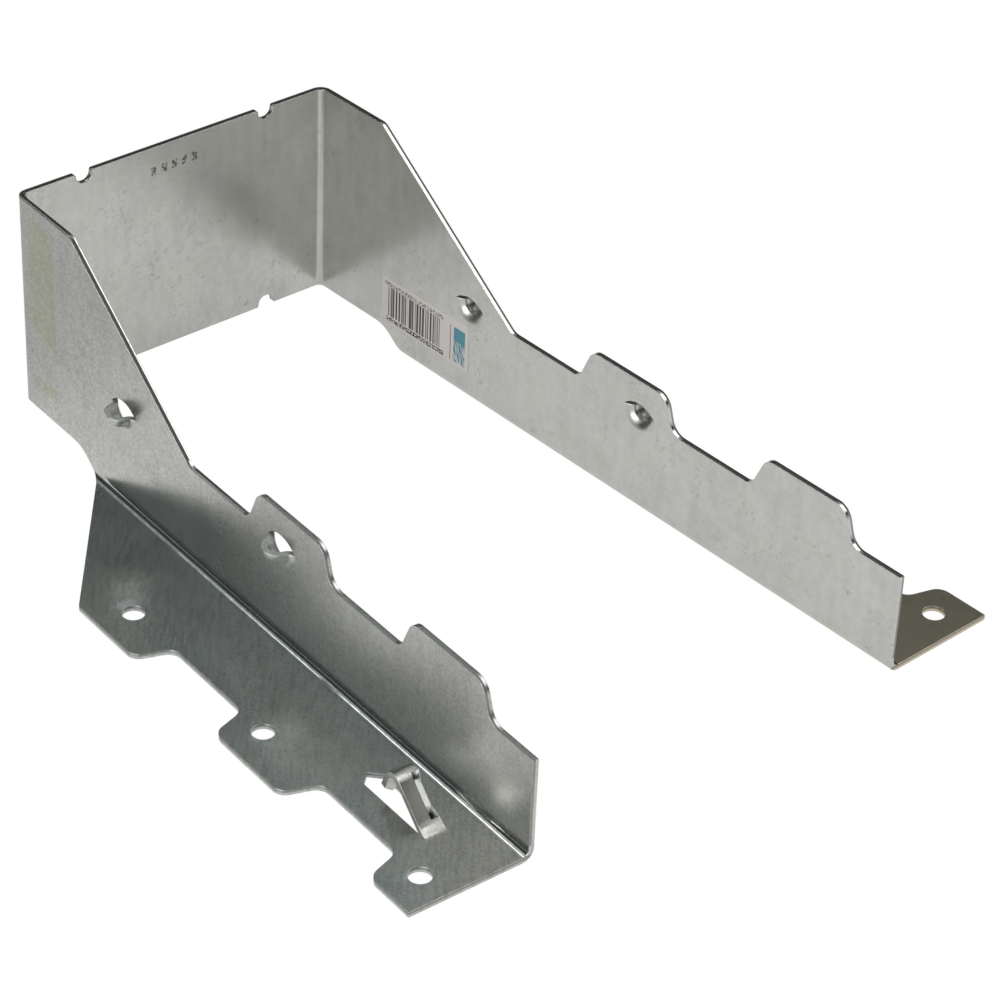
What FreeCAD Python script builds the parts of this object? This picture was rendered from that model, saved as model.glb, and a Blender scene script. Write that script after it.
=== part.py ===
import FreeCAD, Part
import math
import os
from FreeCAD import Vector

# Face-mount joist hanger for a doubled joist, folded from one galvanised sheet.
# Millimetres. The two nailing flanges lie on the header plane Z = 0, and +Z points away from
# the header, along the joist. The seat that carries the joist is the wall at -X, and the pocket
# opens towards +X. Y runs across the joist. Along a side, u is the distance from the seat's outer
# face, w the distance outward from the side's inner face, and v the height over the header plane.
# What belongs to the seat is placed from the seat, and the nailing strip from the open end.

# Sheet and its bends
SHEET = 1.2                 # galvanised steel, 18 gauge
BEND_IN = 1.5               # inside radius of every long bend
BEND_OUT = BEND_IN + SHEET
NEUTRAL = 0.4               # neutral layer, as a share of the sheet
SPLAY = 2.28                # degrees that each side opens past square

# Pocket
POCKET_W = 78.0             # clear width at the seat
HEIGHT = 178.0              # seat's outer face to the open end
SEAT_LOW = 5.6              # seat's lower edge over the header plane
SEAT_LEN = 50.0             # bearing length of the seat
SEAT_TOP = SEAT_LOW + SEAT_LEN

# Side: heights of its upper edge, and the taper between seat and nailing strip
STRIP_V = 23.6              # edge between the tabs
TAB_V = 31.6                # edge on a tab
TAPER_START = 21.6          # u where the upper edge leaves the seat's height
TAPER_ROUND = 3.0
STRIP_LEN = 112.8           # open end back to the foot of the taper
TAPER_END = HEIGHT - STRIP_LEN

# Wavy edges: a tab on the side, and the hollow beside it in the flange
TAB_PITCH = 50.8
TAB_COUNT = 2
TABS_LEN = 91.8             # open end back to the first tab's foot
TAB_FOOT = HEIGHT - TABS_LEN
TAB_RISE = 3.5              # run of its sloping edge towards the seat
TAB_TOP = 21.9              # straight top
TAB_FALL = 2.5              # run of its edge away from the seat
TAB_ROUND = 3.0
TAB_END_ROUND = 3.8
HOLLOWS_LEN = 92.0          # open end back to the start of the flange's first hollow
HOLLOW_START = HEIGHT - HOLLOWS_LEN
HOLLOW_RUN = 2.6
HOLLOW_FLOOR = 23.9
HOLLOW_DEPTH = 8.1
HOLLOW_ROUND = 3.0

# Flange
FLANGE_W = 28.5             # side's inner face to the flange's outer edge
RELIEF_U = 23.35            # u where the slanted relief leaves the seat's lower edge
FLANGE_LEN = 111.9          # open end back to where the slanted edge meets the flange's outer edge
RELIEF_ROUND = 8.0
CORNER_ROUND = 0.8

# Header nail holes
NAIL_D = 4.76
NAIL_W = 20.8               # out from the side's inner face
NAIL_HIGH = 7.0             # back from the open end
NAIL_MIDDLE = 57.8
NAIL_LOW = 103.7

# Half-round notches in the seat's upper and lower edge
NOTCH_Y = 23.6
NOTCH_W = 4.0
NOTCH_DEPTH = 2.5
NOTCH_ROUND = 1.9
NOTCH_FLARE = 0.5

# Domes that guide the slanted joist nails, staggered from one side to the other
RIGHT_TAPER_DOME = 24.4     # side at -Y: from the taper's foot back towards the seat
RIGHT_TAB_DOME = 11.5       # from the first tab's foot towards the open end
LEFT_TAPER_DOME = 13.6      # side at +Y
LEFT_TAB_DOME = 18.3
DOME_V = 24.1               # height of the slit over each dome
DOME_R = 4.9
DOME_H = 4.1                # bulge over the side's outer face
DOME_FOOT = 1.7             # radius where the dome leaves the sheet
DOME_TILT = 3.0             # degrees that the slit dips towards the open end
SLIT_HALF = 4.5
SLIT_ARCH = 2.0             # rise of the slit's upper edge

# Prong lanced from each flange, which holds the hanger before it is nailed
PRONG_W = 4.9
PRONG_MID = 11.6            # w of its centreline
PRONG_BACK = 14.8           # open end back to its root
PRONG_LEN = 21.8            # length of its window
PRONG_FOOT = 1.9            # run of the gentler slope at its foot
PRONG_STEP = 1.9            # height where the steeper slope starts, on the middle of the sheet
PRONG_REACH = 11.0          # root to the bend at its top, along the flange
PRONG_RISE = 10.9           # height of that bend, on the middle of the sheet
PRONG_HOOK = 3.1            # bend to tip, along the flange
PRONG_CLEAR = 2.6           # height of the tip
PRONG_BEND = 1.6
LIP_W = 1.9                 # edge beside the side, turned up to stiffen the prong
LIP_TURN = 38.0             # degrees
LIP_RUN = 2.6               # length over which it turns up, and down again

# Adhesive paper label on the inner face of the side at +Y
LABEL_U = 23.0
LABEL_V = 6.7
LABEL_LEN = 28.7
LABEL_H = 11.5
LABEL_T = 0.1
LABEL_TILT = 0.6

SEAT_AXIS_Y = POCKET_W / 2 - BEND_IN    # axis of the bend between seat and side

# The slanted edge is one straight cut in the flat sheet, from the side through the fold to the flange
FOLD_LENGTH = math.pi / 2 * (BEND_IN + NEUTRAL * SHEET)
FLAT_DROP = SEAT_LOW - BEND_OUT + FOLD_LENGTH + FLANGE_W - BEND_OUT
FLANGE_FULL = HEIGHT - FLANGE_LEN
RELIEF_SLOPE = FLAT_DROP / (FLANGE_FULL - RELIEF_U)
FOLD_START = RELIEF_U + (SEAT_LOW - BEND_OUT) / RELIEF_SLOPE
FLANGE_START = FOLD_START + FOLD_LENGTH / RELIEF_SLOPE
PRONG_ROOT = HEIGHT - PRONG_BACK


def unit(a, b):
    """Direction from one outline corner to another."""
    return (Vector(b[0] - a[0], b[1] - a[1], 0)).normalize()


def rounded_wire(corners):
    """Closed wire in the XY plane through corners (x, y, radius), with tangent arcs."""
    edges = []
    count = len(corners)
    cuts = []
    for i, here in enumerate(corners):
        back = unit(here, corners[i - 1])
        ahead = unit(here, corners[(i + 1) % count])
        point = Vector(here[0], here[1], 0)
        if here[2] <= 0:
            cuts.append((point, None, point))
            continue
        half = back.getAngle(ahead) / 2
        reach = here[2] / math.tan(half)
        bisector = (back + ahead).normalize()
        centre = point + bisector * (here[2] / math.sin(half))
        cuts.append((point + back * reach, centre - bisector * here[2], point + ahead * reach))
    for i, (start, middle, end) in enumerate(cuts):
        if middle is not None:
            edges.append(Part.Arc(start, middle, end).toShape())
        following = cuts[(i + 1) % count][0]
        if end.distanceToPoint(following) > 1e-6:
            edges.append(Part.LineSegment(end, following).toShape())
    return Part.Wire(edges)


def plate(corners, thickness):
    """Flat plate on the XY plane, with its thickness along +Z."""
    return Part.Face(rounded_wire(corners)).extrude(Vector(0, 0, thickness))


def flat_face(points):
    """Flat face inside straight lines from point to point."""
    return Part.Face(Part.makePolygon(points + [points[0]]))


def stand_up(shape, y):
    """Turn a plate from the XY plane into the XZ plane, with its thickness from y along +Y."""
    shape.rotate(Vector(0, 0, 0), Vector(1, 0, 0), 90)
    shape.translate(Vector(0, y, 0))
    return shape


def seat():
    """Flat seat with its four notches, standing on the YZ plane."""
    reach = SEAT_AXIS_Y
    half = NOTCH_W / 2

    def notch(y, edge, inward, step):
        floor = edge + inward * NOTCH_DEPTH
        return [(y - step * half, edge, NOTCH_FLARE), (y - step * half, floor, NOTCH_ROUND),
                (y + step * half, floor, NOTCH_ROUND), (y + step * half, edge, NOTCH_FLARE)]

    corners = [(-reach, SEAT_LOW, 0)]
    for y in (-NOTCH_Y, NOTCH_Y):
        corners += notch(y, SEAT_LOW, 1, 1)
    corners += [(reach, SEAT_LOW, 0), (reach, SEAT_TOP, 0)]
    for y in (NOTCH_Y, -NOTCH_Y):
        corners += notch(y, SEAT_TOP, -1, -1)
    corners.append((-reach, SEAT_TOP, 0))
    flat = plate(corners, SHEET)
    flat.rotate(Vector(0, 0, 0), Vector(1, 1, 1), 120)
    return flat


def seat_bend():
    """Round bend between the seat and the side at +Y."""
    end = flat_face([Vector(0, SEAT_AXIS_Y, SEAT_LOW), Vector(SHEET, SEAT_AXIS_Y, SEAT_LOW),
                     Vector(SHEET, SEAT_AXIS_Y, SEAT_TOP), Vector(0, SEAT_AXIS_Y, SEAT_TOP)])
    return end.revolve(Vector(BEND_OUT, SEAT_AXIS_Y, 0), Vector(0, 0, -1), 90 - SPLAY)


def side_plate():
    """Flat side, from the seat's bend to the open end, with its tabs along the upper edge."""
    upper = [(BEND_OUT, SEAT_TOP, 0), (TAPER_START, SEAT_TOP, TAPER_ROUND),
             (TAPER_END, STRIP_V, TAPER_ROUND)]
    for i in range(TAB_COUNT):
        foot = TAB_FOOT + i * TAB_PITCH
        top = foot + TAB_RISE
        end = top + TAB_TOP
        upper += [(foot, STRIP_V, TAB_ROUND), (top, TAB_V, TAB_ROUND),
                  (end, TAB_V, TAB_END_ROUND), (end + TAB_FALL, STRIP_V, TAB_END_ROUND)]
    upper.append((HEIGHT, STRIP_V, 0))
    lower = [(HEIGHT, BEND_OUT, 0), (FOLD_START, BEND_OUT, 0), (RELIEF_U, SEAT_LOW, RELIEF_ROUND),
             (BEND_OUT, SEAT_LOW, 0)]
    flat = plate(upper + lower, SHEET)
    return stand_up(flat, POCKET_W / 2 + SHEET)


def flange_plate():
    """Flat flange on the header plane, with hollows in its outer edge and its nail holes."""
    base = POCKET_W / 2
    inner = base + BEND_OUT
    outer = base + FLANGE_W
    floor = outer - HOLLOW_DEPTH
    corners = [(HEIGHT, inner, 0), (FLANGE_START, inner, 0), (FLANGE_FULL, outer, CORNER_ROUND)]
    for i in range(TAB_COUNT):
        start = HOLLOW_START + i * TAB_PITCH
        low = start + HOLLOW_RUN
        rise = low + HOLLOW_FLOOR
        corners += [(start, outer, HOLLOW_ROUND), (low, floor, HOLLOW_ROUND),
                    (rise, floor, HOLLOW_ROUND), (rise + HOLLOW_RUN, outer, HOLLOW_ROUND)]
    corners.append((HEIGHT, outer, 0))
    flat = plate(corners, SHEET)
    for back in (NAIL_LOW, NAIL_MIDDLE, NAIL_HIGH):
        hole = Part.makeCylinder(NAIL_D / 2, 3 * SHEET, Vector(HEIGHT - back, base + NAIL_W, -SHEET))
        flat = flat.cut(hole)
    return flat


def fold():
    """Long bend between side and flange, its end cut on the slant of the flat sheet's edge."""
    base = POCKET_W / 2
    axis = Vector(0, base + BEND_OUT, BEND_OUT)
    strip = flat_face([Vector(FOLD_START, base, BEND_OUT), Vector(HEIGHT, base, BEND_OUT),
                       Vector(HEIGHT, base + SHEET, BEND_OUT),
                       Vector(FOLD_START, base + SHEET, BEND_OUT)])
    bend = strip.revolve(axis, Vector(1, 0, 0), 90)
    margin = SHEET / 2
    rings = []
    for turn in range(-10, 101, 10):
        u = FOLD_START + turn / 90 * (FLANGE_START - FOLD_START)
        near, far = BEND_IN - margin, BEND_OUT + margin
        ray = Vector(0, -math.cos(math.radians(turn)), -math.sin(math.radians(turn)))
        start = FOLD_START - BEND_OUT
        loop = [axis + ray * near + Vector(start, 0, 0), axis + ray * far + Vector(start, 0, 0),
                axis + ray * far + Vector(u, 0, 0), axis + ray * near + Vector(u, 0, 0)]
        rings.append(Part.makePolygon(loop + [loop[0]]))
    waste = Part.makeLoft(rings, True, True)
    return bend.cut(waste)


def dome_shell():
    """Half of a round dome below its slit, about the Y axis, with the sheet's outer face at Y = 0."""
    radii = (DOME_R ** 2 + DOME_H ** 2) / (2 * DOME_H)
    crown = radii - DOME_FOOT
    turn = 2 * math.atan(DOME_H / DOME_R)
    low = DOME_H - crown

    def on_crown(radius, angle):
        return Vector(radius * math.sin(angle), low + radius * math.cos(angle), 0)

    def on_foot(radius, angle):
        return Vector(DOME_R - radius * math.sin(angle), DOME_FOOT - radius * math.cos(angle), 0)

    outer, inner = (crown, DOME_FOOT), (crown - SHEET, DOME_FOOT + SHEET)
    edges = []
    for over, foot in (outer, inner):
        edges.append(Part.Arc(on_crown(over, 0), on_crown(over, turn / 2), on_crown(over, turn)))
        edges.append(Part.Arc(on_foot(foot, turn), on_foot(foot, turn / 2), on_foot(foot, 0)))
    edges.append(Part.LineSegment(on_foot(outer[1], 0), on_foot(inner[1], 0)))
    edges.append(Part.LineSegment(on_crown(outer[0], 0), on_crown(inner[0], 0)))
    section = Part.Face(Part.Wire(Part.__sortEdges__([edge.toShape() for edge in edges])))
    return section.revolve(Vector(0, 0, 0), Vector(0, 1, 0), 180)


def dome_opening():
    """What the press takes from the flat sheet: the half disc and the arch over the slit."""
    half_disc = Part.makeCylinder(DOME_R, SHEET, Vector(0, 0, 0), Vector(0, -1, 0))
    below = Part.makeBox(3 * DOME_R, 3 * SHEET, 2 * DOME_R,
                         Vector(-1.5 * DOME_R, -2 * SHEET, -2 * DOME_R))
    arch = Part.Arc(Vector(-SLIT_HALF, 0, 0), Vector(0, 0, SLIT_ARCH), Vector(SLIT_HALF, 0, 0))
    line = Part.LineSegment(Vector(SLIT_HALF, 0, 0), Vector(-SLIT_HALF, 0, 0))
    over = Part.Face(Part.Wire([arch.toShape(), line.toShape()])).extrude(Vector(0, -SHEET, 0))
    return half_disc.common(below).fuse(over)


def add_domes(sheet, places):
    """Press a dome into the side at each u."""
    for u in places:
        opening = dome_opening()
        shell = dome_shell()
        for form in (opening, shell):
            form.rotate(Vector(0, 0, 0), Vector(0, 1, 0), DOME_TILT)
            form.translate(Vector(u, POCKET_W / 2 + SHEET, DOME_V))
        sheet = sheet.cut(opening).fuse(shell)
    return sheet


def band_corners(path, inside, thickness):
    """Outline of a bent strip round the middle line path, with the given inside bend radius."""
    sides = {1: [], -1: []}
    for i, here in enumerate(path):
        ahead = unit(here, path[i + 1]) if i < len(path) - 1 else unit(path[i - 1], here)
        back = unit(path[i - 1], here) if i > 0 else ahead
        miter = Vector(-ahead.y - back.y, ahead.x + back.x, 0)
        turn = back.x * ahead.y - back.y * ahead.x
        scale = thickness / (1 + ahead.dot(back)) / 2
        for hand in sides:
            bend = 0
            if abs(turn) > 1e-6:
                bend = inside if turn * hand > 0 else inside + thickness
            corner = Vector(here[0], here[1], 0) + miter * scale * hand
            sides[hand].append((corner.x, corner.y, bend))
    return sides[1] + sides[-1][::-1]


def turn_up(strip, foot, crown):
    """Turn up the strip's edge beside the side, between its foot and its crown."""
    along = unit(foot, crown)
    length = Vector(crown[0] - foot[0], crown[1] - foot[1], 0).Length - 2 * PRONG_BEND
    inner = POCKET_W / 2 + PRONG_MID - PRONG_W / 2 + LIP_W

    def on_strip(run, out, high):
        run += PRONG_BEND / 2
        return Vector(foot[0] + along.x * run + along.y * high, inner - out,
                      foot[1] + along.y * run - along.x * high)

    def section(run, degrees):
        c, s = math.cos(math.radians(degrees)), math.sin(math.radians(degrees))
        half = SHEET / 2
        loop = [on_strip(run, 0, -half), on_strip(run, LIP_W * c, LIP_W * s - half),
                on_strip(run, LIP_W * c - SHEET * s, LIP_W * s + SHEET * c - half), on_strip(run, 0, half)]
        return Part.makePolygon(loop + [loop[0]])

    flat = Part.makeLoft([section(0, 0), section(length, 0)], True, True)
    runs = (0, LIP_RUN, length - LIP_RUN, length)
    lip = Part.makeLoft([section(run, turn) for run, turn in zip(runs, (0, LIP_TURN, LIP_TURN, 0))],
                        True, True)
    return strip.cut(flat).fuse(lip)


def prong():
    """Lanced prong: it rises from its root, bends over and points down at the header."""
    middle = SHEET / 2
    foot = (PRONG_ROOT - PRONG_FOOT, PRONG_STEP)
    crown = (PRONG_ROOT - PRONG_REACH, PRONG_RISE)
    end = (crown[0] - PRONG_HOOK, PRONG_CLEAR)
    path = [(PRONG_ROOT + SHEET, middle), (PRONG_ROOT, middle), foot, crown, end]
    strip = plate(band_corners(path, PRONG_BEND, SHEET), PRONG_W)
    strip = stand_up(strip, POCKET_W / 2 + PRONG_MID + PRONG_W / 2)
    strip = turn_up(strip, foot, crown)
    along = unit(crown, end)
    tip = Vector(end[0], POCKET_W / 2 + PRONG_MID, end[1])
    half = PRONG_W / 2
    for hand in (-1, 1):
        wedge = flat_face([Vector(0, 0, 0), Vector(half, 0, 0), Vector(half, hand * PRONG_W, 0),
                           Vector(-half, hand * PRONG_W, 0), Vector(-half, hand * half, 0)])
        corner = wedge.extrude(Vector(0, 0, 4 * SHEET))
        corner.translate(Vector(0, 0, -2 * SHEET))
        corner.rotate(Vector(0, 0, 0), Vector(0, 1, 0), -math.degrees(math.atan2(along.y, along.x)))
        corner.translate(tip)
        strip = strip.cut(corner)
    return strip


def prong_window():
    """Opening that the prong leaves in the flange, pointed where the prong's tip was."""
    start = PRONG_ROOT - PRONG_LEN
    half = PRONG_W / 2
    middle = POCKET_W / 2 + PRONG_MID
    corners = [(start, middle, 0), (start + half, middle - half, 0), (PRONG_ROOT, middle - half, 0),
               (PRONG_ROOT, middle + half, 0), (start + half, middle + half, 0)]
    window = plate(corners, 3 * SHEET)
    window.translate(Vector(0, 0, -SHEET))
    return window


def splayed(shape):
    """Open a side past square, about the axis of its bend with the seat."""
    shape.rotate(Vector(BEND_OUT, SEAT_AXIS_Y, 0), Vector(0, 0, 1), SPLAY)
    return shape


def side(taper_dome, tab_dome):
    """The side at +Y with its fold, flange, domes and prong, and its bend to the seat."""
    flange = flange_plate().cut(prong_window()).fuse(prong())
    sheet = add_domes(side_plate(), (TAPER_END - taper_dome, TAB_FOOT + tab_dome))
    return splayed(sheet.fuse([fold(), flange])).fuse(seat_bend())


def mirrored(shape):
    return shape.mirror(Vector(0, 0, 0), Vector(0, 1, 0))


def hanger():
    left = side(LEFT_TAPER_DOME, LEFT_TAB_DOME)
    right = mirrored(side(RIGHT_TAPER_DOME, RIGHT_TAB_DOME))
    whole = left.fuse([seat(), right]).removeSplitter()
    return whole.Solids[0] if len(whole.Solids) == 1 else whole


def label():
    """Paper label flat on the side's inner face, a little out of square."""
    paper = Part.makeBox(LABEL_LEN, LABEL_T, LABEL_H,
                         Vector(LABEL_U, POCKET_W / 2 - LABEL_T, LABEL_V))
    paper.rotate(Vector(LABEL_U, 0, LABEL_V), Vector(0, 1, 0), -LABEL_TILT)
    return splayed(paper)


def centred(shape):
    """Move the model's origin from under the seat to the middle of the header plane."""
    shape.translate(Vector(-HEIGHT / 2, 0, 0))
    return shape


os.makedirs("parts", exist_ok=True)
for name, shape in (("hanger", hanger()), ("label", label())):
    shape = centred(shape)
    shape.exportStep(os.path.join("parts", name + ".step"))
    box = shape.BoundBox
    print(name, "solids", len(shape.Solids), "valid", shape.isValid(), "volume", round(shape.Volume, 1),
          "from", [round(v, 2) for v in (box.XMin, box.YMin, box.ZMin)],
          "to", [round(v, 2) for v in (box.XMax, box.YMax, box.ZMax)])
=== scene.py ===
# %% [markdown]
# # A folded joist hanger
# The object is a face-mount joist hanger: one galvanised steel sheet, cut, pierced and folded.
# A seat carries the joist, two sides hold it, and a flange along each side is nailed to the header.
# Sheet and label come from the packed frame at their real size. We could model them here again, but
# the frame's solids are exact, so this lesson is about surfaces, the light they mirror and the
# camera.

# %% Load the frame
import math

import bpy
from mathutils import Matrix, Vector

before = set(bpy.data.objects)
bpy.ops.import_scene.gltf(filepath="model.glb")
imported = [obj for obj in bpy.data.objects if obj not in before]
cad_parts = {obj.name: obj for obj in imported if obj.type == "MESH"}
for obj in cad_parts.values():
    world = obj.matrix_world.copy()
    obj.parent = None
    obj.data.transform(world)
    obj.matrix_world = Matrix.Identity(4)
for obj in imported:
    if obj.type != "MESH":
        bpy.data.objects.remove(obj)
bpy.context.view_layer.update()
MM = 0.001
print("nodes", sorted(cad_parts))

# %% [markdown]
# ## Camera
# The picture is a close product shot from above the open end. A long lens keeps the far flange
# nearly as large as the near one. We could look for the view by eye, but a view given by its
# azimuth, elevation, roll and distance is easier to read and to correct.

# %% Camera
SENSOR = 36.0
LENS = 128.39
AZIMUTH = math.radians(48.914)
ELEVATION = math.radians(35.004)
ROLL = math.radians(2.572)
DISTANCE = 716.24 * MM
AIM = Vector((18.0, 3.66, 20.0)) * MM
CLIP_RATIO = 100


def view_axes(azimuth, elevation, roll):
    """Right, up and back of a camera, as unit vectors in the row frame."""
    back = Vector((math.sin(azimuth) * math.cos(elevation), -math.cos(azimuth) * math.cos(elevation),
                   math.sin(elevation)))
    level = Vector((math.cos(azimuth), math.sin(azimuth), 0))
    upright = back.cross(level)
    right = level * math.cos(roll) + upright * math.sin(roll)
    return right, back.cross(right), back


def add_camera():
    """A camera that looks at AIM."""
    data = bpy.data.cameras.new("camera")
    data.sensor_width = SENSOR
    data.lens = LENS
    data.clip_start = DISTANCE / CLIP_RATIO
    data.clip_end = DISTANCE * CLIP_RATIO
    camera = bpy.data.objects.new("camera", data)
    bpy.context.scene.collection.objects.link(camera)
    right, up, back = view_axes(AZIMUTH, ELEVATION, ROLL)
    place = Matrix((right, up, back)).transposed().to_4x4()
    place.translation = AIM + back * DISTANCE
    camera.matrix_world = place
    bpy.context.scene.camera = camera
    return camera


camera = add_camera()
bpy.context.scene.view_settings.view_transform = "Standard"
print("camera at", [round(value, 3) for value in camera.location])

# %% [markdown]
# ## Shader maths as Python
# A finish is a sum of masks: grain, streaks, specks, stains. Wiring Math nodes by hand hides that
# sum, so a small class wraps an output socket and its operators add the nodes. Every other node
# comes from one method, which takes the node's type, its settings and what its sockets get.
# The Mix node has sockets of one name for numbers, vectors and colours, so its colour sockets are
# picked by their place in the list.

# %% Sockets with operators
COLOUR_A = 6
COLOUR_B = 7
COLOUR_OUT = 2


class Wire:
    """One output of a node. Operators on it add Math nodes to the same tree."""

    def __init__(self, tree, socket):
        self.tree = tree
        self.socket = socket

    def node(self, kind, settings=None, sockets=None, output=0):
        """Add a node: its settings first, then the values or links of its sockets."""
        made = self.tree.nodes.new(kind)
        for name, value in (settings or {}).items():
            setattr(made, name, value)
        for name, value in (sockets or {}).items():
            if isinstance(value, Wire):
                self.tree.links.new(value.socket, made.inputs[name])
            else:
                made.inputs[name].default_value = value
        return Wire(self.tree, made.outputs[output] if made.outputs else None)

    def math(self, operation, first, second=0.0):
        """A Math node on one or two numbers or wires."""
        return self.node("ShaderNodeMath", {"operation": operation}, {0: first, 1: second})

    def vector(self, operation, sockets, output=0):
        """A Vector Math node."""
        return self.node("ShaderNodeVectorMath", {"operation": operation}, sockets, output)

    def parts(self):
        """X, Y and Z of this vector."""
        return [self.node("ShaderNodeSeparateXYZ", None, {0: self}, axis) for axis in "XYZ"]

    def __add__(self, other):
        return self.math("ADD", self, other)

    __radd__ = __add__

    def __sub__(self, other):
        return self.math("SUBTRACT", self, other)

    def __rsub__(self, other):
        return self.math("SUBTRACT", other, self)

    def __mul__(self, other):
        return self.math("MULTIPLY", self, other)

    __rmul__ = __mul__

    def __pow__(self, other):
        return self.math("POWER", self, other)

    def __abs__(self):
        return self.math("ABSOLUTE", self)

    def rise(self, low, high):
        """0 below low, 1 above high, and a smooth step between. It falls where low is the larger."""
        return self.node("ShaderNodeMapRange", {"interpolation_type": "SMOOTHSTEP"},
                         {"Value": self, "From Min": low, "From Max": high})

    def within(self, low, high, soft):
        """1 from low to high, with soft shoulders."""
        return self.rise(low - soft, low + soft) * self.rise(high + soft, high - soft)

    def mix(self, kind, first, second):
        """A Mix node for colours, with this mask as its factor."""
        return self.node("ShaderNodeMix", {"data_type": "RGBA", "blend_type": kind},
                         {"Factor": self, COLOUR_A: first, COLOUR_B: second}, COLOUR_OUT)

    def blend(self, first, second):
        """Colour first where this mask is 0, and second where it is 1."""
        return self.mix("MIX", first, second)

    def tint(self, colour, filter_colour):
        """The colour, seen through a filter where this mask is 1."""
        return self.mix("MULTIPLY", colour, filter_colour)


def start(owner):
    """An empty node tree on a material or world, and a first wire to build from."""
    owner.use_nodes = True
    owner.node_tree.nodes.clear()
    return Wire(owner.node_tree, None)


def finish_tree(wire, kind, surface):
    """Link the last shader to the tree's output."""
    wire.node(kind, None, {"Surface": surface})


def place_in_mm(wire):
    """Position in the row frame, in millimetres."""
    metres = wire.node("ShaderNodeTexCoord", None, None, "Object")
    return wire.vector("SCALE", {0: metres, "Scale": 1 / MM})


print("a wire can", [name for name in vars(Wire) if not name.startswith("_")])

# %% [markdown]
# ## Dark room
# Bare zinc has little colour of its own: it shows what it mirrors. The sides stand up and mirror a
# white table, so they look light. The flanges lie flat and mirror the room above, so they look
# nearly black, and each fold and dome catches a lamp as a thin line or a small glint.
# Lamps and cards around the object could do this. Here the world works out its level from the
# direction of a mirrored ray, which has no noise and leaves the background white for the camera:
# a paler horizon that darkens to the west, a dark ceiling that is a little paler to the south and
# high up in the west, and three soft boxes. Dark parts of the room are tinted blue-green.
# A pair of numbers says where a mask starts and where it is full, here as a part of the ray's unit
# direction. Each box has a strength, a direction, and such a pair for the cosine to that direction.

# %% Dark room
CEILING = 0.01
SOUTH_CEILING = 0.05
SOUTH = (-0.10, -0.40)
HORIZON = 0.70
WEST_HORIZON = 0.10
WEST = (-0.20, -0.55)
DUSK = (0.08, 0.40)
ZENITH = 0.42
ZENITH_UP = (0.605, 0.67)
ZENITH_WEST = (0.10, -0.20)
SKY_WHITE = (1, 1, 1, 1)
SKY_TINT = (0.87, 1.0, 1.0, 1)
DARK_ENOUGH = (0.9, 0.3)
BOXES = {"behind": (2.2, (0.20, 0.54, 0.81), (0.90, 0.94)),
         "over the fold": (6.0, (-0.612, 0.02, 0.79), (0.9955, 0.9990)),
         "in front": (5.5, (0.22, -0.84, 0.50), (0.89, 0.95))}


def rays(wire, kind):
    """Mask of one kind of ray."""
    return wire.node("ShaderNodeLightPath", None, None, kind)


def dark_room():
    """World that is white for the camera and a dark room with soft boxes for what the metal mirrors."""
    world = bpy.data.worlds.new("studio")
    bpy.context.scene.world = world
    wire = start(world)
    direction = wire.node("ShaderNodeTexCoord", None, None, "Generated")
    east, north, height = direction.parts()
    south = north.rise(*SOUTH)
    horizon = HORIZON - (HORIZON - WEST_HORIZON) * east.rise(*WEST)
    zenith = ZENITH * (1 + south) * height.rise(*ZENITH_UP) * east.rise(*ZENITH_WEST)
    ceiling = CEILING + SOUTH_CEILING * south + zenith
    level = horizon * height.rise(DUSK[1], DUSK[0]) + ceiling * height.rise(*DUSK)
    for strength, aim, edge in BOXES.values():
        toward = wire.vector("DOT_PRODUCT", {0: direction, 1: aim}, "Value")
        level = level + strength * toward.rise(*edge)
    mirrored = rays(wire, "Is Glossy Ray")
    colour = (mirrored * level.rise(*DARK_ENOUGH)).blend(SKY_WHITE, SKY_TINT)
    shown = 1 - mirrored * (1 - level)
    sky = wire.node("ShaderNodeBackground", None, {"Color": colour, "Strength": shown})
    finish_tree(wire, "ShaderNodeOutputWorld", sky)
    return world


print("room", dark_room().name, "ceiling", CEILING, "horizon", HORIZON, "boxes", list(BOXES))

# %% [markdown]
# ## White floor
# The hanger lies on a white table that shows no shadow in the picture. A lit diffuse plane would
# turn grey around the object, so the plane glows for the camera and half for mirrored rays, and is
# plain white paint for all other light. For mirrored rays it glows less behind the seat and beside
# the seat end of the near flange, where the real table lies in the object's own shade.

# %% White floor
FLOOR_PAINT = (0.85, 0.85, 0.85, 1)
FLOOR_GLOW = 0.94
FLOOR_SHARE = 0.5
FLOOR_DIM = 0.42
FLOOR_FADE = (-125, -60)
FLOOR_SHADE = 0.15
FLOOR_SHADE_ACROSS = (-42, -54)
FLOOR_SHADE_ALONG = (-30, -55)
FLOOR_HALF = 4.0
FLOOR_DROP = 0.02 * MM


def floor_glow(wire, mirrored):
    """Light of the table: full for the camera, dimmer in places for mirrored rays."""
    along, across = place_in_mm(wire).parts()[:2]
    lit = FLOOR_DIM + (1 - FLOOR_DIM) * along.rise(*FLOOR_FADE)
    shade = 1 - FLOOR_SHADE * across.rise(*FLOOR_SHADE_ACROSS) * along.rise(*FLOOR_SHADE_ALONG)
    level = 1 - mirrored * (1 - FLOOR_GLOW * lit * shade)
    return wire.node("ShaderNodeEmission", None, {"Color": level})


def floor_white():
    """White paint that glows for the camera and, by half, for mirrored rays."""
    material = bpy.data.materials.new("floor_white")
    wire = start(material)
    mirrored = rays(wire, "Is Glossy Ray")
    glow = floor_glow(wire, mirrored)
    shown = rays(wire, "Is Camera Ray") + mirrored * FLOOR_SHARE + rays(wire, "Is Transmission Ray")
    plain = wire.node("ShaderNodeBsdfDiffuse", None, {"Color": FLOOR_PAINT})
    mixed = wire.node("ShaderNodeMixShader", None,
                      {0: wire.math("MINIMUM", shown, 1), 1: plain, 2: glow})
    finish_tree(wire, "ShaderNodeOutputMaterial", mixed)
    return material


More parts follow.
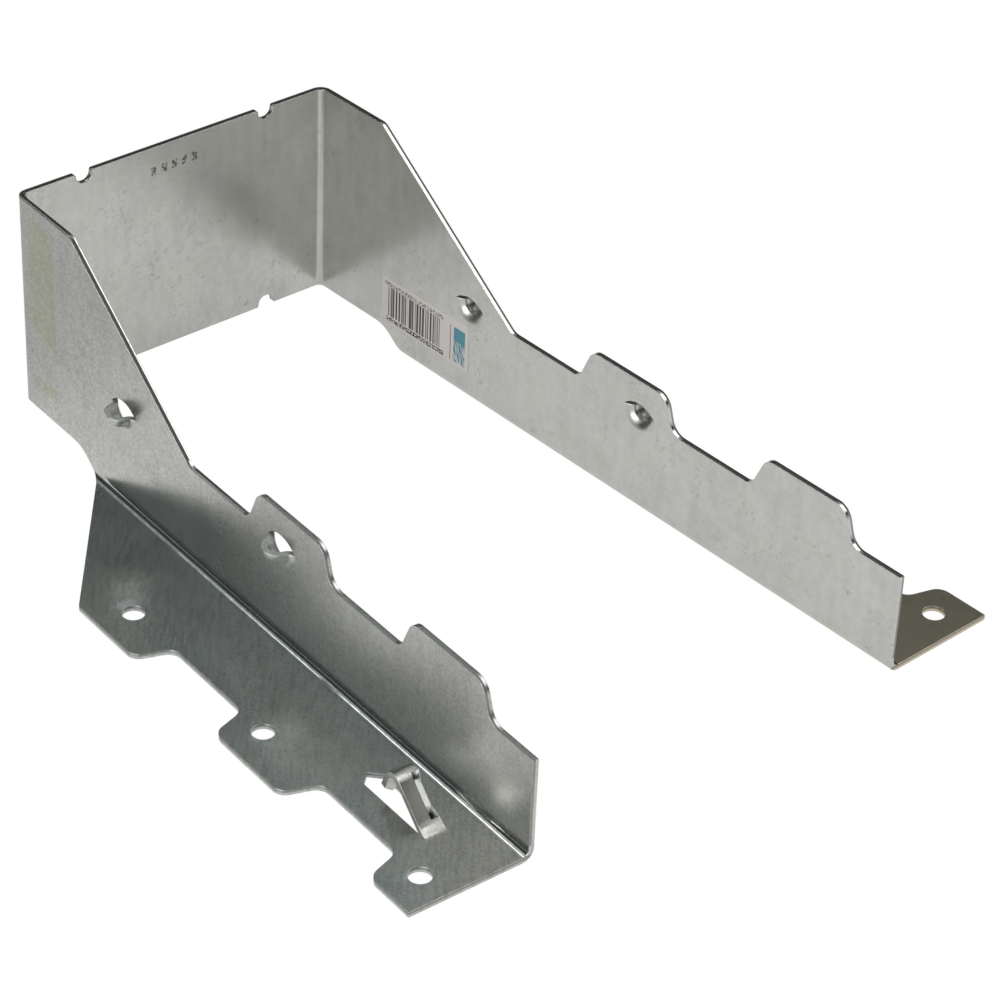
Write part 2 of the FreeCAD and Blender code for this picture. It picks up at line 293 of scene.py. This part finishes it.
def white_floor():
    """Plain pale floor just under the flanges."""
    mesh = bpy.data.meshes.new("floor")
    corners = [(-1, -1), (1, -1), (1, 1), (-1, 1)]
    points = [(x * FLOOR_HALF, y * FLOOR_HALF, -FLOOR_DROP) for x, y in corners]
    mesh.from_pydata(points, [], [range(len(points))])
    mesh.materials.append(floor_white())
    floor = bpy.data.objects.new("floor", mesh)
    bpy.context.scene.collection.objects.link(floor)
    return floor


print("floor side in m", white_floor().dimensions.x)

# %% [markdown]
# ## Where a point is on the sheet
# The dull torn edge, the painted shade in the hollow of a dome and the ink on the seat each belong
# to one spot of the folded sheet. Painted maps would need an unwrapped mesh. The hanger's position in
# the row frame says the same with less, once it is measured along and across the side, which opens by
# a few degrees about its fold at the seat. Limits are in millimetres, or parts of the unit normal.
# As in the room, a pair says where a mask starts and where it is full. Three numbers are the start
# and end of a stretch and how soft its ends are.

# %% Where a point is on the sheet
SPLAY = math.radians(2.28)
HINGE = (-86.3, 37.5)
SHEET = 1.2
INNER_GAP = 1.5
SEAT_GAP = INNER_GAP + SHEET
FLANGE_TOP = (SHEET + 0.4, SHEET + 0.1)
DOMES = ((-1, 40.8), (-1, 97.7), (1, 51.6), (1, 104.5))
DOME_HEIGHT = 24.1
DOME_SQUARED = (30.0, 21.0)
DOME_WALL = (30.0, 36.0)


class Sheet:
    """Where a point is on the hanger and which way it faces, as wires of one material."""

    def __init__(self, wire):
        self.wire = wire
        self.place = place_in_mm(wire)
        self.along, self.across, self.height = self.place.parts()
        self.faces = wire.node("ShaderNodeNewGeometry", None, None, "Normal").parts()
        from_hinge = abs(self.across) - HINGE[1]
        past_hinge = self.along - HINGE[0]
        self.depth = from_hinge * math.cos(SPLAY) - past_hinge * math.sin(SPLAY) - INNER_GAP
        self.run = past_hinge * math.cos(SPLAY) + from_hinge * math.sin(SPLAY) + SEAT_GAP
        self.flange = self.height.rise(*FLANGE_TOP)

    def flat(self, first, second):
        """Two measures as a vector, for a pattern on a flat face."""
        return self.wire.node("ShaderNodeCombineXYZ", None, {"X": first, "Y": second})

    def field(self, run, height):
        """Mask of a rectangle on a side, from its stretches along and up."""
        return self.run.within(*run) * self.height.within(*height)

    def dome(self):
        """Mask of the four domes, from the squared distance to the middle of each."""
        mask = 0.0
        for hand, run in DOMES:
            away = (self.run - run) ** 2 + (self.height - DOME_HEIGHT) ** 2
            mask = away.rise(*DOME_SQUARED) * (self.across * hand).rise(*DOME_WALL) + mask
        return mask


print("domes", len(DOMES), "side opens by", round(math.degrees(SPLAY), 2), "degrees")

# %% [markdown]
# ## Sheared edges
# Shears first burnish the edge of a sheet and then tear it. The burnished band, next to the inner
# face, is bright. The torn band, next to the outer face, leans back and is dull. Both are only
# 0.6 mm wide, so they are drawn by leaning the normal instead of modelling a facet on every edge.
# On the near side's taper the tear reaches almost across the whole edge, and on the arch of each
# dome it takes all of it. The rim of a dome's slit leans a little too.

# %% Sheared edges
LEAN = 0.30
RIM_LEAN = 0.12
CUT_FACE = (0.65, 0.55)
SIDE_EDGE = (-0.2, SHEET + 0.15, 0.05)
SIDE_FOOT = (3.4, 3.6)
SIDE_TORN = (0.62, 0.74)
SEAT_EDGE = (-87.5, -87.7)
SEAT_HALF = (37.6, 37.4)
SEAT_TORN = (-88.42, -88.54)
FLANGE_CUT_FACE = (0.55, 0.45)
FLANGE_EDGE = (1.4, 1.25)
FLANGE_TORN = (0.5, 0.65)
ARCH_FACE = (0.3, 0.0)
NEAR_HALF = (0.0, -1.0)
TAPER = (21.6, 64, 0.5)
TAPER_TORN = (0.25, 0.40)
RIM_FACE = (0.80, 0.90)
RIM_DEPTH = (1.3, 1.4)
RIM_HEIGHT = (21.8, 26.5, 0.2)


def most(first, second):
    """The larger of two masks."""
    return first.math("MAXIMUM", first, second)


def edges(sheet, dome):
    """Masks of the whole cut edge and of its torn band, and how the normal leans there."""
    along, across, height, depth = sheet.along, sheet.across, sheet.height, sheet.depth
    turned = [abs(part) for part in sheet.faces]
    on_side = turned[1].rise(*CUT_FACE) * depth.within(*SIDE_EDGE) * height.rise(*SIDE_FOOT)
    on_seat = turned[0].rise(*CUT_FACE) * along.rise(*SEAT_EDGE) * abs(across).rise(*SEAT_HALF)
    on_flange = turned[2].rise(*FLANGE_CUT_FACE) * height.rise(*FLANGE_EDGE)
    arch = dome * sheet.faces[2].rise(*ARCH_FACE)
    taper = depth.rise(*TAPER_TORN) * across.rise(*NEAR_HALF) * sheet.run.within(*TAPER)
    torn_side = on_side * most(depth.rise(*SIDE_TORN), most(arch, taper))
    torn_seat = on_seat * along.rise(*SEAT_TORN)
    torn_flange = on_flange * height.rise(*FLANGE_TORN)
    rim = turned[2].rise(*RIM_FACE) * depth.rise(*RIM_DEPTH) * height.within(*RIM_HEIGHT)
    outward = sheet.wire.math("SIGN", across) * (torn_side * LEAN + rim * RIM_LEAN)
    lean = sheet.wire.node("ShaderNodeCombineXYZ", None,
                           {"X": torn_seat * -LEAN, "Y": outward, "Z": torn_flange * LEAN})
    return on_side + on_seat + on_flange, torn_side + torn_seat + torn_flange, lean


print("torn band leans back by", round(math.degrees(math.atan(LEAN))), "degrees")

# %% [markdown]
# ## Noise in millimetres
# Photographs of zinc would bring seams and a fixed scale, and noise has neither. A noise is given
# by the size of its features, its detail and its roughness, and a pair of levels turns it into
# spots with clear or hazy rims.

# %% Noise
EVEN_ROUGHNESS = 0.5


def noise(wire, place, size, detail, roughness=EVEN_ROUGHNESS):
    """Noise with features of about a size in millimetres."""
    return wire.node("ShaderNodeTexNoise", None,
                     {"Vector": place, "Scale": 1 / size, "Detail": detail, "Roughness": roughness})


def spots(wire, place, shape, levels):
    """Spots of noise: none below the first level and full above the second."""
    return noise(wire, place, *shape).rise(*levels)


print("noise roughness, where a pattern names none:", EVEN_ROUGHNESS)

# %% [markdown]
# ## Marks of use and of the press
# Something was once glued low on the near side and left a thin yellowish film. A row of five small
# ragged ink blots crosses the inside of the seat. The press left a shallow hollow beside each nail
# hole of the near flange. Decals could carry the first two, but a few limits along the sheet and
# some noise are enough, and the hollows only tilt the normal.

# %% Film
FILM = ((1.1, 3.0, 0.6), (0.35, 0.65))
FILM_WALL = (-38.9, -39.1)
FILM_STRETCH = 0.6
FILM_LEAST = 0.35
PATCH_RUN = (5.0, 14.5, 1.0)
PATCH_SLANT = 0.4
PATCH_FOOT = (27.0, 30.0)
PATCH_HEAD = (54.5, 51.0)
FOOT_FIELD = ((6.0, 14.5, 0.6), (11.5, 14.0, 0.5))


def residue(sheet):
    """The film: a tall patch beside the seat and a narrow foot below it."""
    run, height = sheet.run, sheet.height
    slanted = (height + run * PATCH_SLANT).rise(*PATCH_FOOT)
    patch = run.within(*PATCH_RUN) * slanted * height.rise(*PATCH_HEAD)
    film = spots(sheet.wire, sheet.flat(run * FILM_STRETCH, height), *FILM)
    thick = FILM_LEAST + (1 - FILM_LEAST) * film
    return sheet.across.rise(*FILM_WALL) * (patch + sheet.field(*FOOT_FIELD)) * thick


print("film from", PATCH_RUN[0], "to", PATCH_RUN[1], "mm along the side")

# %% Ink marks
INK_SPOTS = ((0.55, 1.0), (0.45, 0.51))
INK_ROW = (49.05, 51.1, 0.12)
INK_SLOPE = 0.03
INK_PER_MM = 0.38
INK_FIRST = 0.9
INK_BLOT = (0.18, 0.70, 0.05)
INK_ACROSS = (-6.8, 5.7, 0.1)
INK_FACE = (-88.4, -86.5, 0.2)


def ink_marks(sheet):
    """A row of small ragged blots across the inside of the seat."""
    across = sheet.across
    row = (sheet.height - across * INK_SLOPE).within(*INK_ROW)
    beat = sheet.wire.math("FRACT", (across - INK_FIRST) * INK_PER_MM).within(*INK_BLOT)
    ragged = spots(sheet.wire, sheet.flat(across, sheet.height), *INK_SPOTS)
    return row * beat * across.within(*INK_ACROSS) * ragged * sheet.along.within(*INK_FACE)


print("ink blots every", round(1 / INK_PER_MM, 2), "mm")

# %% Hollows
HOLLOWS = ((-19.0, -62.0), (31.0, -64.5), (80.5, -66.5))
HOLLOW_PER_MM = (0.36, 0.28)
HOLLOW_WALL = (-40, -42)


def dents(sheet):
    """Shallow hollows in the near flange beside the nail holes."""
    mask = 0.0
    for x, y in HOLLOWS:
        along = (sheet.along - x) * HOLLOW_PER_MM[0]
        across = (sheet.across - y) * HOLLOW_PER_MM[1]
        mask = (along ** 2 + across ** 2).rise(1.0, 0.0) + mask
    return mask * sheet.flange * sheet.across.rise(*HOLLOW_WALL)


print("hollows", len(HOLLOWS))

# %% [markdown]
# ## Zinc pattern
# Hot-dip zinc is a satin metal with a faint mottle, rolling streaks, fine grain and dark pinholes.
# The near side and flange are scuffed, so their grain is stronger, and fine slanting strokes cross
# that flange. Colour, roughness and a shallow relief could each get noise of their own. They share
# the same few, so that a dark speck is also a pit.

# %% Zinc pattern
MOTTLE = (1.8, 4.0, 0.6)
MOTTLE_LEVELS = (0.3, 0.75)
MOTTLE_TONE = 0.18
MOTTLE_SCUFFED = 0.12
GRAIN = (0.6, 2.0)
GRAIN_LEVELS = (0.35, 0.65)
GRAIN_TONE = 0.12
GRAIN_SCUFFED = 0.45
SCUFFED_WALL = (-30, -36)
SCUFFED_PALER = 0.20
CROWDS = ((7.0, 1.0), (0.46, 0.62))
FLECKS = ((0.9, 1.0), (0.60, 0.78))
ROLLED = (1, 1, 0.2)
STREAKS = ((2.4, 2.0), (0.35, 0.75))
STREAK_TONE = 0.18
CLOUDS = ((9.0, 2.0), (0.4, 0.6))
CLOUD_TONE = 0.14
STROKE_WAY = (0.754, 0.657)
STROKE_STRETCH = 0.12
STROKES = ((0.8, 2.0), (0.42, 0.62))
STROKE_TONE = 0.40
STROKE_PALER = 0.14
WARMTH = ((5.0, 3.0), (0.42, 0.68))
WARMTH_MOST = 0.5


class Pattern:
    """The noises that the zinc's colour, roughness and relief share."""

    def __init__(self, sheet):
        wire, place = sheet.wire, sheet.place
        scuffed = sheet.across.rise(*SCUFFED_WALL)
        self.mottle = noise(wire, place, *MOTTLE)
        self.grain = noise(wire, place, *GRAIN)
        self.flecks = spots(wire, place, *FLECKS) * spots(wire, place, *CROWDS)
        self.warm = spots(wire, place, *WARMTH) * WARMTH_MOST
        coarse = (MOTTLE_TONE + MOTTLE_SCUFFED * scuffed) * self.mottle.rise(*MOTTLE_LEVELS)
        fine = (GRAIN_TONE + GRAIN_SCUFFED * scuffed) * self.grain.rise(*GRAIN_LEVELS)
        streaks = spots(wire, wire.vector("MULTIPLY", {0: place, 1: ROLLED}), *STREAKS)
        clouds = spots(wire, place, *CLOUDS)
        strokes = self.strokes(sheet) * sheet.flange * scuffed
        self.tone = (coarse + (fine - SCUFFED_PALER * scuffed) + STREAK_TONE * streaks
                     + CLOUD_TONE * clouds + strokes)

    def strokes(self, sheet):
        """Fine slanting strokes, some darker and some paler than the sheet."""
        onward = sheet.across * STROKE_WAY[1] - sheet.along * STROKE_WAY[0]
        aside = sheet.along * STROKE_WAY[1] + sheet.across * STROKE_WAY[0]
        drawn = spots(sheet.wire, sheet.flat(aside, onward * STROKE_STRETCH), *STROKES)
        return drawn * STROKE_TONE - STROKE_PALER


print("mottle of", MOTTLE[0], "mm and grain of", GRAIN[0], "mm")

# %% [markdown]
# ## Where the zinc differs, and painted shade
# Wherever the press drew or scraped the sheet, the zinc changed: domes are duller and creases
# polished. The hollows of the domes are darkened with painted shade, and so are the prong's strap and
# its turned-up lip, which is also duller. The near side is scuffed toward its open end, the far flange
# is browner there, and the near flange gets a painted shade, darker and colder beside its fold.
# Separate materials would need the mesh to be cut, which a frame's node forbids, so each zone is a
# mask from the position and the normal.

# %% Zinc zones
CURVED = (0.995, 0.93)
NEAR_WALL = (-36, -38)
# Which faces of each dome's hollow get painted shade, darker on the far side.
NEAR_HOLLOW_SHADE = (0.05, 0.35)
FAR_WALL = (36, 38)
FAR_HOLLOW_SHADE = (0.30, 0.50)
FAR_DARKER = 1.3
CREASED = (0.08, 0.2)
CREASED_BELOW = (4.0, 3.0)
NEAR_INNER = (-39, -40)
NEAR_OUTER = (-49, -47)
NEAR_ABOVE = (3.0, 4.0)
PRONG_ALONG = (63, 76, 0.5)
PRONG_ACROSS = (53, 63, 0.5)
PRONG_ABOVE = (2.6, 3.4)
LIP_TURNED = (0.35, 0.60)
LIP_FACE = (0.25, 0.40)
STRAP_TURNED = (0.55, 0.85, 0.05)
STRAP_FACE = (0.3, 0.5)
BROWN_ACROSS = (30, 40)
BROWN_RUN = (125, 160)
# Where the near flange gets painted shade beside its fold.
FOLD_SHADE_EDGE = (-40, -40.5)
FOLD_SHADE_ACROSS = (-72, -48)
FOLD_SHADE_RUN = (172, 140)


class Zones:
    """Masks of the places where the finish is not that of plain sheet, and of painted shade."""

    def __init__(self, sheet):
        across, height, run, faces = sheet.across, sheet.height, sheet.run, sheet.faces
        turned = [abs(part) for part in faces]
        dome = sheet.dome()
        self.cut, self.torn, self.lean = edges(sheet, dome)
        self.curved = dome * turned[1].rise(*CURVED)
        # Painted shade in the domes' hollows: near faces toward the pocket, far faces that point up.
        near_hollow_shade = dome * across.rise(*NEAR_WALL) * faces[1].rise(*NEAR_HOLLOW_SHADE)
        far_hollow_shade = dome * across.rise(*FAR_WALL) * faces[2].rise(*FAR_HOLLOW_SHADE)
        self.hollow_shade = near_hollow_shade + FAR_DARKER * far_hollow_shade
        slanting = turned[1].rise(*CREASED) * turned[2].rise(*CREASED)
        self.creased = slanting * height.rise(*CREASED_BELOW)
        near = across.rise(*NEAR_INNER) * across.rise(*NEAR_OUTER)
        self.near_side = near * height.rise(*NEAR_ABOVE)
        prong = sheet.along.within(*PRONG_ALONG) * abs(across).within(*PRONG_ACROSS)
        prong = prong * height.rise(*PRONG_ABOVE)
        # Painted shade darkens the lip and the strap, so the front box's reflection stays dim there;
        # the lip is also rougher.
        self.lip = prong * turned[1].rise(*LIP_TURNED) * faces[2].rise(*LIP_FACE)
        self.strap = prong * faces[0].within(*STRAP_TURNED) * faces[2].rise(*STRAP_FACE)
        self.brown = sheet.flange * across.rise(*BROWN_ACROSS) * run.rise(*BROWN_RUN)
        # Painted shade: the near flange is darker and colder beside its fold.
        fold_shade = sheet.flange * across.rise(*FOLD_SHADE_EDGE) * across.rise(*FOLD_SHADE_ACROSS)
        self.fold_shade = fold_shade * run.rise(*FOLD_SHADE_RUN)
        self.ink = ink_marks(sheet)


print("prong along", PRONG_ALONG[:2], "across", PRONG_ACROSS[:2])

# %% [markdown]
# ## The zinc material
# A metal needs only a colour, a roughness and a normal, so three short functions make one each.
# The colour is laid on in coats: zinc, a brown tint, a cold painted shade on the near flange beside
# its fold, flecks, film, ink, and a dull grey over the torn edges that is painted shade in the domes'
# hollows and on the prong's strap and lip. The roughness is near 0.2: lower looks polished, and higher
# hides what the sheet mirrors. The relief has the long waves of a folded sheet, and the Bevel node
# rounds the cut edges a little for the light.

# %% Zinc colour
ZINC = (0.62, 0.625, 0.590, 1)
ZINC_WARM = (0.60, 0.585, 0.530, 1)
ZINC_DARK = (0.42, 0.43, 0.42, 1)
BROWN = (0.66, 0.55, 0.39, 1)
# Filter of the painted shade on the near flange beside its fold.
FOLD_SHADE_TINT = (0.72, 0.77, 0.80, 1)
FLECK = (0.20, 0.20, 0.185, 1)
STAIN = (0.44, 0.46, 0.20, 1)
INK = (0.09, 0.075, 0.07, 1)
# Dull grey of torn edges, used also as painted shade in the domes' hollows and on the prong's strap and
# lip.
TORN_AND_SHADE_GREY = (0.22, 0.22, 0.21, 1)
BROWN_COVER = 0.8
FLECK_COVER = 0.32
STAIN_COVER = 0.45
INK_COVER = 0.9
TORN_COVER = 0.75
# How much painted shade the hollows, the strap and the lip get.
HOLLOW_SHADE_COVER = 0.6
STRAP_SHADE_COVER = 0.8
LIP_SHADE_COVER = 0.6


def zinc_colour(sheet, pattern, zones):
    """Mottled zinc, then what lies on it, and painted shade in the hollows, on the prong and by a fold.
    """
    colour = pattern.tone.blend(pattern.warm.blend(ZINC, ZINC_WARM), ZINC_DARK)
    colour = (zones.brown * BROWN_COVER).blend(colour, BROWN)
    # Painted shade, darker and colder, on the near flange beside its fold.
    colour = zones.fold_shade.tint(colour, FOLD_SHADE_TINT)
    colour = (pattern.flecks * FLECK_COVER).blend(colour, FLECK)
    colour = (residue(sheet) * STAIN_COVER).blend(colour, STAIN)
    colour = (zones.ink * INK_COVER).blend(colour, INK)
    # Torn edges are dull grey; the same grey is painted shade in the domes' hollows and on the strap
    # and lip.
    dull_and_shade = zones.torn * TORN_COVER + zones.hollow_shade * HOLLOW_SHADE_COVER
    dull_and_shade = dull_and_shade + zones.strap * STRAP_SHADE_COVER + zones.lip * LIP_SHADE_COVER
    return dull_and_shade.blend(colour, TORN_AND_SHADE_GREY)


print("zinc from", ZINC[:3], "to", ZINC_DARK[:3])

# %% Zinc roughness
ZINC_ROUGH = 0.21
MOTTLE_ROUGHER = 0.07
TORN_ROUGHER = 0.10
BURNISHED_SMOOTHER = 0.03
INK_ROUGHER = 0.2
CURVED_ROUGHER = 0.11
LIP_ROUGHER = 0.30
CREASED_SMOOTHER = 0.12
SCUFFED_ROUGHER = 0.13
SCUFFED_RUN = (65, 105)


def zinc_roughness(sheet, pattern, zones):
    """Satin, duller where torn, drawn, inked or scuffed, and shinier where burnished or creased."""
    rough = ZINC_ROUGH + MOTTLE_ROUGHER * pattern.mottle + TORN_ROUGHER * zones.torn
    rough = rough - BURNISHED_SMOOTHER * (zones.cut - zones.torn) + INK_ROUGHER * zones.ink
    rough = rough + CURVED_ROUGHER * zones.curved + LIP_ROUGHER * zones.lip
    rough = rough - CREASED_SMOOTHER * zones.creased
    return rough + SCUFFED_ROUGHER * zones.near_side * sheet.run.rise(*SCUFFED_RUN)


print("roughness", ZINC_ROUGH, "and up to", ZINC_ROUGH + LIP_ROUGHER, "on the lip")

# %% Zinc normal
EDGE_ROUND = 0.18 * MM
EDGE_SAMPLES = 6
DENT_TILT = 0.17
LEANING_BACK = 0.024
LEANING_RUN = (60, 75)
CURLING_BACK = 0.012
CURLING_RUN = (90, 125)
RELIEF = 0.2 * MM
WAVES = (45.0, 1.0)
WAVE_HIGH = 0.25
GRAIN_HIGH = 0.009
MOTTLE_HIGH = 0.012
FLECK_DEEP = 0.008


def zinc_normal(sheet, pattern, zones):
    """Rounded edges, the torn band's lean, the near side's lean, the hollows and a shallow relief."""
    wire, run = sheet.wire, sheet.run
    back = LEANING_BACK * run.rise(*LEANING_RUN) + CURLING_BACK * run.rise(*CURLING_RUN)
    tilt = wire.node("ShaderNodeCombineXYZ", None,
                     {"Y": dents(sheet) * -DENT_TILT, "Z": zones.near_side * back})
    normal = wire.node("ShaderNodeBevel", {"samples": EDGE_SAMPLES}, {"Radius": EDGE_ROUND})
    for turn in (zones.lean, tilt):
        normal = wire.vector("ADD", {0: normal, 1: turn})
    normal = wire.vector("NORMALIZE", {0: normal})
    relief = noise(wire, sheet.place, *WAVES) * WAVE_HIGH + pattern.grain * GRAIN_HIGH
    relief = relief + pattern.mottle * MOTTLE_HIGH - pattern.flecks * FLECK_DEEP
    return wire.node("ShaderNodeBump", None,
                     {"Height": relief, "Distance": RELIEF, "Strength": 1.0, "Normal": normal})


print("relief in mm", round(RELIEF / MM, 2), "edges rounded by", round(EDGE_ROUND / MM, 2))


# %% Zinc
def zinc():
    """Zinc coated sheet."""
    material = bpy.data.materials.new("galvanised")
    wire = start(material)
    sheet = Sheet(wire)
    pattern = Pattern(sheet)
    zones = Zones(sheet)
    shader = wire.node("ShaderNodeBsdfPrincipled", None,
                       {"Base Color": zinc_colour(sheet, pattern, zones), "Metallic": 1.0,
                        "Roughness": zinc_roughness(sheet, pattern, zones),
                        "Normal": zinc_normal(sheet, pattern, zones)})
    finish_tree(wire, "ShaderNodeOutputMaterial", shader)
    return material


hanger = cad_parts["hanger"]
hanger.material_slots[0].material = zinc()
print("hanger faces", len(hanger.data.polygons))

# %% [markdown]
# ## Label
# A small paper label is stuck low on the far side. Its print is generic: a field of bars with small
# marks above and below, a thin rule and a coloured block, with nothing to read. An image would do,
# but bars are only noise that changes along the label and not up it, and the small marks are the
# same noise cut into rows. A field is a rectangle on the label, given by its stretches along and
# up.

# %% Black print
BARS = ((0.50, 1.0), (0.49, 0.51))
BAR_FIELD = ((25.0, 42.3, 0.05), (8.9, 16.4, 0.06))
SPECKS = (0.5, 1.0)
SPECK_SQUASH = 1.2
BELOW_LEVELS = (0.44, 0.50)
BELOW_FIELD = ((24.4, 43.6, 0.1), (7.5, 8.6, 0.1))
ABOVE_LEVELS = (0.47, 0.53)
ABOVE_FIELD = ((23.8, 43.4, 0.1), (16.6, 17.5, 0.1))
ABOVE_COVER = 0.8


def black_print(sheet):
    """Bars, and a row of small marks below and above them."""
    bars = spots(sheet.wire, sheet.flat(sheet.run, 0.0), *BARS) * sheet.field(*BAR_FIELD)
    specks = noise(sheet.wire, sheet.flat(sheet.run, sheet.height * SPECK_SQUASH), *SPECKS)
    below = specks.rise(*BELOW_LEVELS) * sheet.field(*BELOW_FIELD)
    above = specks.rise(*ABOVE_LEVELS) * sheet.field(*ABOVE_FIELD)
    return bars + below + above * ABOVE_COVER


print("bars from", BAR_FIELD[0][0], "to", BAR_FIELD[0][1], "mm along the side")

# %% Label paper
PAPER = (0.72, 0.68, 0.66, 1)
PRINT = (0.02, 0.02, 0.02, 1)
RULE = (0.30, 0.10, 0.16, 1)
TEAL = (0.05, 0.31, 0.33, 1)
BLUE = (0.09, 0.25, 0.42, 1)
DEEP = (0.02, 0.08, 0.09, 1)
PAPER_ROUGH = 0.45
RULE_FIELD = ((45.7, 45.95, 0.04), (7.7, 16.7, 0.06))
BLOCK_FIELD = ((46.9, 50.6, 0.05), (7.8, 16.6, 0.06))
SWEEP_HEIGHT = (0.5, 0.2)
SWEEP_RUN = 1.3
BLUES = ((1.1, 2.0), (0.42, 0.58))
LOOSE = (0.5, 0.0)
LOOSE_BELOW = (14.0, 13.0)
LOOSE_PALE = (0.50, 0.56)
LOOSE_DEEP = (0.38, 0.45, 0.02)
LOOSE_COVER = 0.8


def label_paper():
    """Pale paper with black print, a rule and a block of colour with loose strokes."""
    material = bpy.data.materials.new("label_paper")
    wire = start(material)
    sheet = Sheet(wire)
    run, height = sheet.run, sheet.height
    block = sheet.field(*BLOCK_FIELD)
    sweep = sheet.flat(height * SWEEP_HEIGHT[0] + run * SWEEP_RUN, height * SWEEP_HEIGHT[1])
    strokes = noise(wire, sweep, *LOOSE) * block * height.rise(*LOOSE_BELOW)
    colour = black_print(sheet).blend(PAPER, PRINT)
    colour = sheet.field(*RULE_FIELD).blend(colour, RULE)
    colour = block.blend(colour, spots(wire, sweep, *BLUES).blend(TEAL, BLUE))
    colour = (strokes.rise(*LOOSE_PALE) * LOOSE_COVER).blend(colour, PAPER)
    colour = (strokes.within(*LOOSE_DEEP) * LOOSE_COVER).blend(colour, DEEP)
    shader = wire.node("ShaderNodeBsdfPrincipled", None,
                       {"Base Color": colour, "Roughness": PAPER_ROUGH})
    finish_tree(wire, "ShaderNodeOutputMaterial", shader)
    return material


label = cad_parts["label"]
label.material_slots[0].material = label_paper()
print("label in mm", [round(side / MM, 1) for side in label.dimensions])

# %% [markdown]
